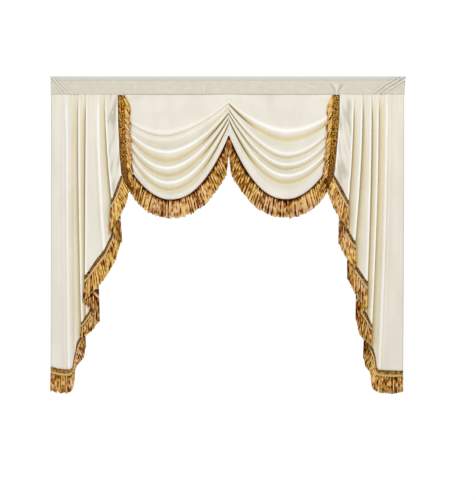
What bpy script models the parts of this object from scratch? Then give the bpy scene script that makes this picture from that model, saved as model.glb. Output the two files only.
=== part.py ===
"""Swag valance: a flat heading, two gathered swags and two cascading tails, all edged with fringe.

Metres, +Z up. The origin is the middle of the heading's top edge. X runs to the right, and the
front of the valance faces -Y. A depth is how far cloth stands in front of the heading's back.
"""
import math
from collections import namedtuple

import bmesh
import bpy
from mathutils import Vector

# Heading: a flat double band.
HEADING_LEFT = -0.997
HEADING_RIGHT = 0.998
HEADING_HEIGHT = 0.100
HEADING_THICK = 0.008
HEADING_STATIONS = 24
STITCH_DROP = 0.021
STITCH_DEPTH = 0.0012
STITCH_HALF = 0.003
FRONT_ROWS = (0.048, 0.074)
END_PINCH = 0.006
# Drag lines that run down from the heading's two upper corners.
DRAG_SLOPE_LEFT = 0.9
DRAG_SLOPE_RIGHT = 1.3
DRAG_LIFT = 0.0012
DRAG_WAVE = 130.0
DRAG_REACH = 0.055
DRAG_FOOT = -0.090

# Cloth: velvet, hung close under the heading.
CLOTH_THICK = 0.0016
SEAM_GAP = 0.0005
BACK_Y = HEADING_THICK / 2
CLOTH_TOP = -HEADING_HEIGHT - SEAM_GAP

# Tails: knife pleats that are pressed flat at the heading and open as they fall.
PLEAT_TURN_TOP = 0.0012
PLEAT_TURN_LOW = 0.0075
PLEAT_TURN_STEPS = 2
PLEAT_OPENS_OVER = 0.55
PLEAT_LEAN = 1.7
TAIL_ROWS = 9
TAIL_ROW_LEAN = 1.25
LINK_LONG = 0.050

# Swags: their sides are gathered on two upright lines.
SWAG_MIDDLE_X = 0.005
SWAG_OUTER = {"left": 0.600, "right": 0.600}
SWAG_INNER = 0.0008
SWAG_COLUMNS = 20
COLUMN_EVENNESS = 0.4
SWAG_OUTER_BOW = 2.0
GATHER_DEPTH_TOP = 0.0022
GATHER_DEPTH_FOOT = 0.014
GATHER_SWELL = 0.15
SWELL_FALL_OUTER = 1.5
SWELL_FALL_INNER = 2.0

# Fringe: a woven header with hanging locks.
HEADER_THICK = 0.0024
HEADER_GAP = 0.0006
CASCADE_GAP = 0.0015
STEEPEST_SINE = 0.15
HEADER_SHARE = 0.25
LOCK_PITCH = 0.024
LOCK_SHARE = 0.80
TURN_LOCK_SHARE = 0.58
LOCK_TIP_SHARE = 0.50
SIDE_STEPS = 9
SIDE_HEADER = 0.040
SIDE_HEADER_SLOPE = 0.1
SIDE_END_CLEAR = 0.004
SIDE_LOCK_REACH = 0.030
SIDE_LOCK_DROP = 0.092
SWAG_FRINGE_DROP = 0.106
SWAG_HEADER_SHARE = 0.16
SWAG_FRINGE_GAP = 0.0017
SPLAY = 0.45
SPLAY_GROWS_OVER = 0.16

CREAM = (0.80, 0.76, 0.66)
HEADING_CREAM = (0.70, 0.67, 0.59)
GOLD = (0.46, 0.27, 0.08)

# A row for each fold or bend of a tail, from its short inner edge to its long outer edge.
# turn is 1 at a fold whose edge points outwards, -1 where it points to the middle and 0 at a bend.
# x is measured outwards from the valance's middle, at the heading and at the cut edge; depth is
# given at the heading and where the pleats have opened; cut and tip are heights of the cloth's
# edge and of the fringe below it.
Fold = namedtuple("Fold", "turn x_top x_low depth_top depth_low cut tip_x tip")

TAIL_FOLDS = {
    "left": (
        Fold(0, 0.620, 0.597, 0.0064, 0.052, -0.553, 0.551, -0.643),
        Fold(0, 0.657, 0.626, 0.0064, 0.060, -0.632, 0.576, -0.739),
        Fold(1, 0.691, 0.652, 0.0052, 0.062, -0.688, 0.663, -0.868),
        Fold(-1, 0.640, 0.602, 0.0028, 0.024, -0.772, 0.594, -0.930),
        Fold(0, 0.699, 0.657, 0.0016, 0.032, -0.896, 0.633, -1.037),
        Fold(0, 0.731, 0.692, 0.0064, 0.042, -0.972, 0.668, -1.100),
        Fold(0, 0.764, 0.738, 0.0064, 0.055, -1.029, 0.710, -1.163),
        Fold(1, 0.797, 0.801, 0.0052, 0.064, -1.115, 0.812, -1.261),
        Fold(-1, 0.740, 0.713, 0.0028, 0.024, -1.233, 0.717, -1.379),
        Fold(0, 0.800, 0.778, 0.0016, 0.040, -1.317, 0.765, -1.432),
        Fold(0, 0.811, 0.802, 0.0064, 0.050, -1.352, 0.788, -1.450),
        Fold(1, 0.841, 0.822, 0.0052, 0.052, -1.379, 0.826, -1.463),
        Fold(-1, 0.815, 0.800, 0.0028, 0.022, -1.435, 0.795, -1.520),
        Fold(0, 0.850, 0.848, 0.0016, 0.016, -1.486, 0.804, -1.570),
        Fold(0, 0.866, 0.858, 0.0016, 0.014, -1.548, 0.826, -1.610),
        Fold(0, 0.880, 0.869, 0.0032, 0.026, -1.602, 0.846, -1.652),
        Fold(0, 0.890, 0.872, 0.0040, 0.030, -1.640, 0.862, -1.758),
        Fold(0, 0.906, 0.893, 0.0064, 0.038, -1.643, 0.888, -1.778),
        Fold(0, 0.934, 0.926, 0.0032, 0.018, -1.642, 0.926, -1.778),
        Fold(0, 0.966, 0.964, 0.0044, 0.014, -1.636, 0.964, -1.773),
        Fold(0, 0.994, 0.996, 0.0032, 0.006, -1.627, 0.998, -1.763),
    ),
    "right": (
        Fold(0, 0.628, 0.594, 0.0064, 0.052, -0.553, 0.556, -0.649),
        Fold(0, 0.663, 0.629, 0.0064, 0.060, -0.621, 0.592, -0.750),
        Fold(1, 0.706, 0.676, 0.0052, 0.062, -0.697, 0.674, -0.851),
        Fold(-1, 0.650, 0.621, 0.0028, 0.024, -0.772, 0.618, -0.938),
        Fold(0, 0.7085, 0.668, 0.0016, 0.043, -0.850, 0.645, -0.990),
        Fold(0, 0.7165, 0.684, 0.0064, 0.052, -0.882, 0.662, -1.020),
        Fold(1, 0.756, 0.713, 0.0052, 0.062, -0.924, 0.716, -1.065),
        Fold(-1, 0.719, 0.666, 0.0028, 0.024, -0.997, 0.669, -1.143),
        Fold(0, 0.7585, 0.708, 0.0016, 0.036, -1.045, 0.703, -1.205),
        Fold(0, 0.7665, 0.745, 0.0064, 0.051, -1.100, 0.742, -1.262),
        Fold(1, 0.806, 0.782, 0.0052, 0.060, -1.149, 0.777, -1.306),
        Fold(-1, 0.769, 0.716, 0.0028, 0.022, -1.225, 0.716, -1.368),
        Fold(0, 0.8085, 0.757, 0.0016, 0.035, -1.296, 0.733, -1.440),
        Fold(0, 0.8165, 0.783, 0.0064, 0.048, -1.342, 0.757, -1.475),
        Fold(1, 0.846, 0.808, 0.0052, 0.054, -1.390, 0.805, -1.508),
        Fold(-1, 0.8195, 0.762, 0.0028, 0.022, -1.441, 0.757, -1.588),
        Fold(0, 0.850, 0.808, 0.0016, 0.024, -1.508, 0.772, -1.632),
        Fold(0, 0.862, 0.826, 0.0020, 0.024, -1.562, 0.792, -1.650),
        Fold(0, 0.872, 0.832, 0.0030, 0.026, -1.610, 0.800, -1.674),
        Fold(0, 0.880, 0.838, 0.0040, 0.030, -1.640, 0.813, -1.750),
        Fold(0, 0.893, 0.852, 0.0064, 0.036, -1.645, 0.852, -1.776),
        Fold(0, 0.922, 0.900, 0.0032, 0.018, -1.648, 0.898, -1.781),
        Fold(0, 0.956, 0.946, 0.0044, 0.014, -1.650, 0.944, -1.781),
        Fold(0, 0.990, 0.984, 0.0032, 0.006, -1.651, 0.984, -1.773),
    ),
}
# Rows of TAIL_FOLDS at which the cascade's fringe ends; the hem's begins at the next.
CASCADE_END = {"left": 15, "right": 18}

# A row for each ridge or hollow of a swag, from its top edge down to its turned-in lower edge.
# outer, low and inner are its heights at the outer gather, at its lowest point and at the middle;
# low_x is measured outwards from where the swags meet; swell is its extra depth at low_x, and bow
# is the power of its curve on the inner side.
Drape = namedtuple("Drape", "outer low_x low inner swell bow")

SWAG_DRAPES = {
    "left": (
        Drape(CLOTH_TOP, 0.330, CLOTH_TOP, CLOTH_TOP, 0.000, 1.7),
        Drape(-0.150, 0.355, -0.195, -0.118, 0.016, 1.7),
        Drape(-0.216, 0.358, -0.320, -0.141, 0.040, 1.7),
        Drape(-0.231, 0.356, -0.348, -0.151, 0.022, 1.7),
        Drape(-0.250, 0.354, -0.376, -0.166, 0.038, 1.7),
        Drape(-0.262, 0.350, -0.404, -0.178, 0.022, 1.7),
        Drape(-0.275, 0.343, -0.433, -0.194, 0.058, 1.75),
        Drape(-0.294, 0.343, -0.480, -0.208, 0.026, 1.75),
        Drape(-0.312, 0.343, -0.522, -0.222, 0.068, 1.8),
        Drape(-0.331, 0.340, -0.560, -0.236, 0.034, 1.85),
        Drape(-0.351, 0.335, -0.602, -0.250, 0.078, 1.95),
        Drape(-0.372, 0.332, -0.637, -0.268, 0.046, 2.05),
        Drape(-0.402, 0.328, -0.664, -0.290, 0.086, 2.15),
        Drape(-0.424, 0.326, -0.681, -0.306, 0.084, 2.2),
        Drape(-0.444, 0.326, -0.689, -0.327, 0.066, 2.2),
    ),
    "right": (
        Drape(CLOTH_TOP, 0.330, CLOTH_TOP, CLOTH_TOP, 0.000, 1.7),
        Drape(-0.148, 0.320, -0.190, -0.118, 0.016, 1.7),
        Drape(-0.196, 0.320, -0.308, -0.143, 0.042, 1.7),
        Drape(-0.226, 0.320, -0.366, -0.158, 0.014, 1.7),
        Drape(-0.262, 0.320, -0.436, -0.177, 0.058, 1.7),
        Drape(-0.284, 0.320, -0.464, -0.190, 0.034, 1.75),
        Drape(-0.308, 0.320, -0.497, -0.202, 0.064, 1.8),
        Drape(-0.331, 0.320, -0.528, -0.214, 0.036, 1.85),
        Drape(-0.358, 0.320, -0.560, -0.230, 0.074, 1.9),
        Drape(-0.380, 0.320, -0.606, -0.250, 0.042, 2.0),
        Drape(-0.402, 0.320, -0.656, -0.278, 0.086, 2.1),
        Drape(-0.422, 0.320, -0.678, -0.304, 0.084, 2.2),
        Drape(-0.440, 0.320, -0.687, -0.327, 0.066, 2.2),
    ),
}
SIDES = {"left": -1, "right": 1}


def clear_scene():
    """Remove the objects that a new file opens with."""
    for obj in list(bpy.data.objects):
        bpy.data.objects.remove(obj, do_unlink=True)


def make_collection(name):
    """Return a collection that the scene shows."""
    collection = bpy.data.collections.new(name)
    bpy.context.scene.collection.children.link(collection)
    return collection


def make_material(name, colour, roughness):
    """Return a plain material of one colour."""
    material = bpy.data.materials.new(name)
    material.use_nodes = True
    shader = material.node_tree.nodes["Principled BSDF"]
    shader.inputs["Base Color"].default_value = (*colour, 1.0)
    shader.inputs["Roughness"].default_value = roughness
    shader.inputs["Metallic"].default_value = 0.0
    return material


def finish_object(name, bm, collection, material, outward=True):
    """Turn a bmesh into a smooth-shaded object of the collection."""
    if outward:
        bmesh.ops.recalc_face_normals(bm, faces=bm.faces)
    mesh = bpy.data.meshes.new(name)
    bm.to_mesh(mesh)
    bm.free()
    mesh.materials.append(material)
    mesh.shade_smooth()
    obj = bpy.data.objects.new(name, mesh)
    collection.objects.link(obj)
    return obj


def add_thickness(obj, thickness):
    """Give a sheet its thickness, half on each side."""
    shell = obj.modifiers.new("Thickness", "SOLIDIFY")
    shell.thickness = thickness
    shell.offset = 0.0
    shell.use_even_offset = True
    shell.use_rim = True
    shell.thickness_clamp = 0.0


def place(x, depth, z):
    """Return the point at a depth in front of the heading's back."""
    return Vector((x, BACK_Y - depth, z))


def mix(a, b, share):
    """Return the value a share of the way from a to b."""
    return a + (b - a) * share


def pull_face(bm, face, first=False):
    """Draw a face out into a new one, and remove the old face unless it closes the end."""
    made = bmesh.ops.extrude_face_region(bm, geom=[face])["geom"]
    if not first:
        bmesh.ops.delete(bm, geom=[face], context="FACES_ONLY")
    return next(item for item in made if isinstance(item, bmesh.types.BMFace))


def heading_profile():
    """Return the heading's outline from back foot, over the top, to front foot, as (y, z)."""
    front = -HEADING_THICK / 2
    half = HEADING_THICK / 2
    round_top = []
    for step in range(5):
        angle = math.pi * step / 4
        round_top.append((half * math.cos(angle), half * math.sin(angle) - half))
    stitch = [
        (front, -STITCH_DROP + STITCH_HALF),
        (front + STITCH_DEPTH, -STITCH_DROP),
        (front, -STITCH_DROP - STITCH_HALF),
    ]
    lower = [(front, -drop) for drop in (*FRONT_ROWS, HEADING_HEIGHT)]
    return [(half, -HEADING_HEIGHT)] + round_top + stitch + lower


def heading_ripple(x, z):
    """Return how far a drag line near an end lifts the heading's front."""
    left_line = (x - HEADING_LEFT) + DRAG_SLOPE_LEFT * z
    right_line = (HEADING_RIGHT - x) + DRAG_SLOPE_RIGHT * z
    lift = 0.0
    for line in (left_line, right_line):
        if abs(line) < DRAG_REACH:
            lift += DRAG_LIFT * math.cos(line * DRAG_WAVE) * (1 - abs(line) / DRAG_REACH)
    return lift


def build_heading(collection, material):
    """Pull the heading's outline from end to end, then crease its front."""
    bm = bmesh.new()
    profile = heading_profile()
    length = HEADING_RIGHT - HEADING_LEFT
    corners = [bm.verts.new((HEADING_LEFT, y, z)) for y, z in profile]
    face = bm.faces.new(corners)
    for station in range(HEADING_STATIONS):
        face = pull_face(bm, face, station == 0)
        bmesh.ops.translate(bm, verts=face.verts, vec=(length / HEADING_STATIONS, 0, 0))
    for vert in bm.verts:
        x, y, z = vert.co
        if y < -HEADING_THICK / 4 and z > DRAG_FOOT:
            vert.co.y -= heading_ripple(x, z)
        if x > HEADING_RIGHT - 1e-4:
            vert.co.x -= END_PINCH * min(1.0, -z / HEADING_HEIGHT)
    return finish_object("heading", bm, collection, material)


def opening(z):
    """Return how far the pleats have opened at a height, from 0 at the heading to 1."""
    fall = min(1.0, max(0.0, (CLOTH_TOP - z) / PLEAT_OPENS_OVER))
    return 1 - (1 - fall) ** 2


def unfold(stops, link_counts):
    """Return points along a folded section, with a round turn at each fold.

    A stop is (turn, x, depth, z, radius). Cloth comes to a fold in front and leaves behind it.
    """
    points = []
    leave = None
    for index, (turn, x, depth, z, radius) in enumerate(stops):
        bend = [(x, depth, z)]
        if turn:
            centre = x - turn * radius
            bend = []
            for step in range(PLEAT_TURN_STEPS + 1):
                angle = math.pi * (0.5 - step / PLEAT_TURN_STEPS)
                point = (centre + turn * radius * math.cos(angle), depth + radius * math.sin(angle), z)
                bend.append(point)
        if leave:
            count = link_counts[index - 1]
            for step in range(1, count):
                share = step / count
                points.append(tuple(mix(a, b, share) for a, b in zip(leave, bend[0])))
        points.extend(bend)
        leave = bend[-1]
    return points


def link_counts_for(folds, longest):
    """Return how many parts each length of cloth between two folds is cut into."""
    counts = []
    for first, second in zip(folds, folds[1:]):
        width = math.hypot(second.x_low - first.x_low, second.cut - first.cut)
        counts.append(max(1, round(width / longest)))
    return counts


def turn_radius(z):
    """Return the radius of a pleat's turn at a height."""
    return mix(PLEAT_TURN_TOP, PLEAT_TURN_LOW, opening(z))


def tail_level(folds, z):
    """Return the tail's stops at one height."""
    stops = []
    for fold in folds:
        fall = min(1.0, max(0.0, (CLOTH_TOP - z) / (CLOTH_TOP - fold.cut)))
        x = mix(fold.x_top, fold.x_low, fall ** PLEAT_LEAN)
        depth = mix(fold.depth_top, fold.depth_low, opening(z))
        stops.append((fold.turn, x, depth, z, turn_radius(z)))
    return stops


def tail_edge(folds, counts):
    """Return the tail's cut edge as (x, depth, z) points."""
    cuts = [(f.turn, f.x_low, f.depth_low, f.cut, turn_radius(f.cut)) for f in folds]
    heights = [point[2] for point in unfold(cuts, counts)]
    edge = []
    for column, z in enumerate(heights):
        edge.append(unfold(tail_level(folds, z), counts)[column])
    return edge


def tail_tips(folds, counts):
    """Return the line on which the tail's fringe ends, column for column with its edge."""
    stops = []
    for fold in folds:
        depth = mix(fold.depth_top, fold.depth_low, opening(fold.tip))
        stops.append((fold.turn, fold.tip_x, depth, fold.tip, turn_radius(fold.tip)))
    return unfold(stops, counts)


def build_tail(side, collection, material):
    """Hang a pleated tail: a grid of upright columns that end on the slanted cut."""
    folds = TAIL_FOLDS[side]
    sign = SIDES[side]
    counts = link_counts_for(folds, LINK_LONG)
    edge = tail_edge(folds, counts)
    bm = bmesh.new()
    grid = bmesh.ops.create_grid(bm, x_segments=len(edge) - 1, y_segments=TAIL_ROWS, size=1.0)
    for vert in grid["verts"]:
        column = round((vert.co.x + 1) / 2 * (len(edge) - 1))
        share = (1 - vert.co.y) / 2
        z = mix(CLOTH_TOP, edge[column][2], share ** TAIL_ROW_LEAN)
        x, depth, z = unfold(tail_level(folds, z), counts)[column]
        vert.co = place(sign * x, depth, z)
    tail = finish_object("tail_" + side, bm, collection, material, outward=False)
    add_thickness(tail, CLOTH_THICK)
    return tail


def swag_point(side, drape, row_share, x):
    """Return a drape's point at a distance outwards from where the swags meet."""
    if x > drape.low_x:
        reach = (x - drape.low_x) / (SWAG_OUTER[side] - drape.low_x)
        z = mix(drape.low, drape.outer, reach ** SWAG_OUTER_BOW)
        fall = reach ** SWELL_FALL_OUTER
    else:
        reach = (drape.low_x - x) / drape.low_x
        z = mix(drape.low, drape.inner, reach ** drape.bow)
        fall = reach ** SWELL_FALL_INNER
    gathered = mix(GATHER_DEPTH_TOP, GATHER_DEPTH_FOOT, row_share)
    depth = gathered + drape.swell * max(GATHER_SWELL, 1 - fall)
    return place(SWAG_MIDDLE_X + SIDES[side] * x, depth, z)


def swag_columns(side):
    """Return the places of a swag's columns, closer together near its two gathers."""
    outer = SWAG_OUTER[side]
    places = []
    for column in range(SWAG_COLUMNS + 1):
        share = (1 - math.cos(math.pi * column / SWAG_COLUMNS)) / 2
        share = mix(share, column / SWAG_COLUMNS, COLUMN_EVENNESS)
        places.append(mix(SWAG_INNER, outer, share))
    return places


def build_swag(side, collection, material):
    """Drape a swag: a grid with a row of points for each ridge and hollow."""
    drapes = SWAG_DRAPES[side]
    places = swag_columns(side)
    rows = len(drapes) - 1
    bm = bmesh.new()
    grid = bmesh.ops.create_grid(bm, x_segments=SWAG_COLUMNS, y_segments=rows, size=1.0)
    for vert in grid["verts"]:
        column = round((vert.co.x + 1) / 2 * SWAG_COLUMNS)
        row = round((1 - vert.co.y) / 2 * rows)
        vert.co = swag_point(side, drapes[row], row / rows, places[column])
    swag = finish_object("swag_" + side, bm, collection, material, outward=False)
    add_thickness(swag, CLOTH_THICK)
    return swag


def lock_sections(lines):
    """Return a header's sections, and the numbers of those at which a lock starts.

    The lines are its top, its foot and the tips of its locks. A section stands at each of their
    points, so that the header bends where the cloth does, and at both edges of each lock.
    """
    points = list(zip(*lines))
    sections = [points[0]]
    starts = []
    for first, second in zip(points, points[1:]):
        length = (second[0] - first[0]).length
        locks = max(1, round(length / LOCK_PITCH))
        margin = (1 - (LOCK_SHARE if length > LOCK_PITCH / 2 else TURN_LOCK_SHARE)) / 2
        for lock in range(locks):
            starts.append(len(sections))
            for share in ((lock + margin) / locks, (lock + 1 - margin) / locks):
                sections.append(tuple(a.lerp(b, share) for a, b in zip(first, second)))
        sections.append(second)
    return sections, starts


def header_corners(sections, index):
    """Return the header's four corners at a section, square to its run and to its locks."""
    top, foot, tip = sections[index]
    before = top - sections[max(0, index - 1)][0]
    after = sections[min(len(sections) - 1, index + 1)][0] - top
    run = before.normalized() + after.normalized()
    half = run.cross(tip - top).normalized() * HEADER_THICK / 2
    return [top + half, top - half, foot - half, foot + half]


def build_fringe(name, lines, collection, material):
    """Weave a header along its lines and draw each lock out of its foot."""
    sections, starts = lock_sections(lines)
    bm = bmesh.new()
    rows = [[bm.verts.new(corner) for corner in header_corners(sections, 0)]]
    face = bm.faces.new(rows[0])
    for index in range(1, len(sections)):
        places = [vert.co.copy() for vert in rows[-1]]
        face = pull_face(bm, face, index == 1)
        row = [min(face.verts, key=lambda vert: (vert.co - place).length) for place in places]
        for vert, corner in zip(row, header_corners(sections, index)):
            vert.co = corner
        rows.append(row)
    for start in starts:
        first, second = rows[start], rows[start + 1]
        foot = bm.faces.get((first[2], first[3], second[3], second[2]))
        root = foot.calc_center_median()
        tip = sections[start][2].lerp(sections[start + 1][2], 0.5)
        for vert in pull_face(bm, foot).verts:
            vert.co = tip + (vert.co - root) * LOCK_TIP_SHARE
    return finish_object(name, bm, collection, material)


def lowered(edge, tips, gap):
    """Return an edge moved towards the tips until it stands a gap clear of where it was."""
    heads = []
    for index, (top, tip) in enumerate(zip(edge, tips)):
        hang = (tip - top).normalized()
        sines = []
        for other in edge[max(0, index - 1):index + 2]:
            if other is not top:
                sines.append(hang.cross((other - top).normalized()).length)
        heads.append(top + hang * gap / max(STEEPEST_SINE, min(sines)))
    return heads


def header_feet(heads, tips, share):
    """Return the line of a header's foot, a share of the way from its top to the tips."""
    return [head.lerp(tip, share) for head, tip in zip(heads, tips)]


def side_fringe_lines(side):
    """Return the top, foot and tips of the fringe down a tail's short inner edge."""
    folds = TAIL_FOLDS[side]
    sign = SIDES[side]
    heads = []
    feet = []
    tips = []
    for step in range(SIDE_STEPS + 1):
        z = mix(CLOTH_TOP - SEAM_GAP, folds[0].cut + SIDE_END_CLEAR, step / SIDE_STEPS)
        x, depth = tail_level(folds, z)[0][1:3]
        tip_z = z - SIDE_LOCK_DROP
        tip_depth = tail_level(folds, tip_z)[0][2]
        heads.append(place(sign * (x - HEADER_GAP), depth, z))
        feet.append(place(sign * (x - SIDE_HEADER), depth, z - SIDE_HEADER * SIDE_HEADER_SLOPE))
        tips.append(place(sign * (x - SIDE_HEADER - SIDE_LOCK_REACH), tip_depth, tip_z))
    return heads, feet, tips


def edge_fringe_lines(side, first_fold, last_fold, gap):
    """Return the top, foot and tips of the fringe along part of a tail's cut edge."""
    folds = TAIL_FOLDS[side]
    sign = SIDES[side]
    counts = link_counts_for(folds, LINK_LONG)
    edge = [place(sign * x, depth, z) for x, depth, z in tail_edge(folds, counts)]
    ends = [place(sign * x, depth, z) for x, depth, z in tail_tips(folds, counts)]
    marks = [0]
    for index in range(1, len(folds)):
        turn = PLEAT_TURN_STEPS if folds[index].turn else 0
        marks.append(marks[-1] + counts[index - 1] + turn)
    span = slice(marks[first_fold], marks[last_fold] + 1)
    tips = ends[span]
    heads = lowered(edge[span], tips, gap)
    return heads, header_feet(heads, tips, HEADER_SHARE), tips


def swag_fringe_lines(side):
    """Return the top, foot and tips of the fringe under a swag."""
    drape = SWAG_DRAPES[side][-1]
    places = swag_columns(side)
    edge = [swag_point(side, drape, 1.0, x) for x in places]
    heads = []
    tips = []
    for index, point in enumerate(edge):
        before = edge[max(0, index - 1)]
        after = edge[min(len(edge) - 1, index + 1)]
        run = (after - before).normalized()
        down = Vector((run.z, 0, -run.x))
        if down.z > 0:
            down = -down
        near_end = min(places[index], SWAG_OUTER[side] - places[index]) / SPLAY_GROWS_OVER
        splay = SPLAY * min(1.0, near_end)
        hang = (down * splay + Vector((0, 0, -1)) * (1 - splay)).normalized()
        head = point + Vector((0, 0, -SWAG_FRINGE_GAP))
        heads.append(head)
        tips.append(head + hang * SWAG_FRINGE_DROP)
    return heads, header_feet(heads, tips, SWAG_HEADER_SHARE), tips


def main():
    """Build the whole valance."""
    clear_scene()
    collection = make_collection("swag_valance")
    heading_cloth = make_material("heading_cloth", HEADING_CREAM, 0.85)
    build_heading(collection, heading_cloth)
    for side in SIDES:
        cloth = make_material("velvet_" + side, CREAM, 0.8)
        gold = make_material("gold_fringe_" + side, GOLD, 0.55)
        build_tail(side, collection, cloth)
        build_swag(side, collection, cloth)
        corner = CASCADE_END[side]
        outer = len(TAIL_FOLDS[side]) - 1
        fringes = {
            "swag_fringe_": swag_fringe_lines(side),
            "side_fringe_": side_fringe_lines(side),
            "cascade_fringe_": edge_fringe_lines(side, 0, corner, CASCADE_GAP),
            "hem_fringe_": edge_fringe_lines(side, corner + 1, outer, HEADER_GAP),
        }
        for name, lines in fringes.items():
            build_fringe(name + side, lines, collection, gold)


main()
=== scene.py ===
import math
import random
from collections import namedtuple

import bmesh
import bpy
import numpy as np
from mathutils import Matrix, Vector, noise


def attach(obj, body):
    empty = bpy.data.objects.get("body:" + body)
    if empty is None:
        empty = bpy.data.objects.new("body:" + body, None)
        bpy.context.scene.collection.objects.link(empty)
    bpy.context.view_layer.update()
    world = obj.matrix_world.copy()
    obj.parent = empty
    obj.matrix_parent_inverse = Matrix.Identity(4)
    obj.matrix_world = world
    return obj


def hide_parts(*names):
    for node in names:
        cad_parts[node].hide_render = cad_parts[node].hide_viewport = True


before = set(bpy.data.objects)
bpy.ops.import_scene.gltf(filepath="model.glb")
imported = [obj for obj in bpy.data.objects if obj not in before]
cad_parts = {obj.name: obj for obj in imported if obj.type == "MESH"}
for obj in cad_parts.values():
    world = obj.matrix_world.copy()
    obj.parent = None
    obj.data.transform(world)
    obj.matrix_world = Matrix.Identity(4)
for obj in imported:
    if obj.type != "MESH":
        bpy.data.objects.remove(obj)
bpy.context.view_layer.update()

# The heading is a flat double band, folded over at the top and stitched through below the fold.
# The gathered panels are sewn into its foot, so it puckers there and pulls in at both ends.
heading_left, heading_right = -0.997, 0.998
heading_height, heading_thick = 0.100, 0.008
heading_slack = 0.0014
stitch_drop, stitch_long, stitch_pitch = 0.0205, 0.0056, 0.00896
stitch_pull, stitch_pull_width = 0.0038, 0.0028
left_pinch, right_pinch, pinch_over = 0.002, 0.006, 0.03
# Fans of puckers at the foot, as (middle, lift). They die away up to the stitched strip.
puckers = ((-0.530, 0.0018), (-0.134, 0.0018), (0.612, 0.0038))
pucker_root, pucker_top, pucker_grows_over = 0.112, 0.022, 0.035
# Slanting creases, as (end of the band, way in, reach, lift, steepness).
end_creases = ((heading_left, 1, 0.16, 0.0032, 0.75), (heading_right, -1, 0.21, 0.0050, 0.53))
crease_waves, crease_spread, crease_fades_over = 380, 0.036, 0.06
# One long drag line, which runs down to the right-hand pucker.
drag_x, drag_z, drag_fall = 0.348, -0.02, 0.32
drag_middle, drag_half, drag_spread, drag_waves, drag_lift = 0.46, 0.09, 0.018, 190, 0.0022
# The crease lift at which the band's painted highlight and shade are full.
full_crease = 0.0040
heading_faces, heading_strip = (208, 202, 185), (209, 210, 203)


def dye(red, green, blue):
    """Return the linear colour given in the eight-bit steps of a colour card, for a material's own colours and
    its painted light and shade alike.
    """
    return tuple((step / 255 / 12.92) if step < 10.3 else ((step / 255 + 0.055) / 1.055) ** 2.4
                 for step in (red, green, blue))


class Shade:
    """A value or colour in a finish. Sums with it add Math nodes."""

    def __init__(self, finish, socket):
        self.finish = finish
        self.socket = socket

    def sum_of(self, operation, *terms):
        return self.finish.node("ShaderNodeMath", {"operation": operation}, dict(enumerate(terms)))

    def __add__(self, other):
        return self.sum_of("ADD", self, other)

    def __sub__(self, other):
        return self.sum_of("SUBTRACT", self, other)

    def __rsub__(self, other):
        return self.sum_of("SUBTRACT", other, self)

    def __mul__(self, other):
        return self.sum_of("MULTIPLY", self, other)

    def __truediv__(self, other):
        return self.sum_of("DIVIDE", self, other)

    __radd__ = __add__
    __rmul__ = __mul__

    def sine(self):
        return self.sum_of("SINE", self)

    def stepped(self, low, high):
        """Return how far the value has risen from low to high, from 0 to 1."""
        settings = {"interpolation_type": "SMOOTHSTEP"}
        return self.finish.node("ShaderNodeMapRange", settings,
                                {"Value": self, "From Min": low, "From Max": high})


class Finish:
    """A material under construction, with one method that adds any node."""

    def __init__(self, name, roughness, sheen=0.0, sheen_roughness=0.4, sheen_tint=(1, 1, 1), gloss=0.5):
        self.material = bpy.data.materials.new(name)
        self.material.use_nodes = True
        self.tree = self.material.node_tree
        self.surface = self.tree.nodes["Principled BSDF"]
        self.surface.inputs["Roughness"].default_value = roughness
        self.surface.inputs["Sheen Weight"].default_value = sheen
        self.surface.inputs["Sheen Roughness"].default_value = sheen_roughness
        self.surface.inputs["Sheen Tint"].default_value = (*sheen_tint, 1)
        self.surface.inputs["Specular IOR Level"].default_value = gloss

    def feed(self, socket, value):
        if isinstance(value, Shade):
            self.tree.links.new(value.socket, socket)
        elif isinstance(value, tuple) and socket.type == "RGBA":
            socket.default_value = (*value, 1)
        else:
            socket.default_value = value

    def node(self, kind, settings, inputs, out=0):
        made = self.tree.nodes.new(kind)
        for key, value in settings.items():
            setattr(made, key, value)
        for key, value in inputs.items():
            self.feed(made.inputs[key], value)
        return Shade(self, made.outputs[out])

    def blend(self, share, first, second):
        """Return a colour between two others."""
        return self.node("ShaderNodeMix", {"data_type": "RGBA"}, {0: share, 6: first, 7: second}, 2)

    def places(self, name="Object"):
        return self.node("ShaderNodeTexCoord", {}, {}, name)

    def stretched(self, places, x, y, z):
        return self.node("ShaderNodeMapping", {}, {"Vector": places, "Scale": (x, y, z)})

    def grain(self, places, scale, detail=2.0, roughness=0.5):
        return self.node("ShaderNodeTexNoise", {},
                         {"Vector": places, "Scale": scale, "Detail": detail, "Roughness": roughness})

    def painted(self, name):
        """Return a number that is kept on the mesh."""
        return self.node("ShaderNodeAttribute", {"attribute_name": name}, {}, "Fac")

    def raised(self, height, distance, strength=1.0):
        """Raise the surface's pattern by a height from 0 to 1."""
        bump = self.node("ShaderNodeBump", {}, {"Height": height, "Distance": distance, "Strength": strength})
        self.feed(self.surface.inputs["Normal"], bump)

    def coloured(self, colour):
        self.feed(self.surface.inputs["Base Color"], colour)


def finished(name, bm, *materials, turned=True):
    """Return a smooth object with a bmesh's shape."""
    if turned:
        bmesh.ops.recalc_face_normals(bm, faces=bm.faces)
    mesh = bpy.data.meshes.new(name)
    bm.to_mesh(mesh)
    bm.free()
    mesh.shade_smooth()
    for material in materials:
        mesh.materials.append(material)
    piece = bpy.data.objects.new(name, mesh)
    bpy.context.scene.collection.objects.link(piece)
    return piece


def thickened(piece, thickness):
    """Give a sheet its thickness, half on each side."""
    wall = piece.modifiers.new("Thickness", "SOLIDIFY")
    wall.thickness = thickness
    wall.offset = 0.0
    wall.use_even_offset = True
    wall.thickness_clamp = 0.0
    return piece


def sewn_on(piece, slot, *nodes):
    """Fix a piece to the valance, in place of its plain solids."""
    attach(piece, "root")
    if nodes:
        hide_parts(*nodes)
    return piece


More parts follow.
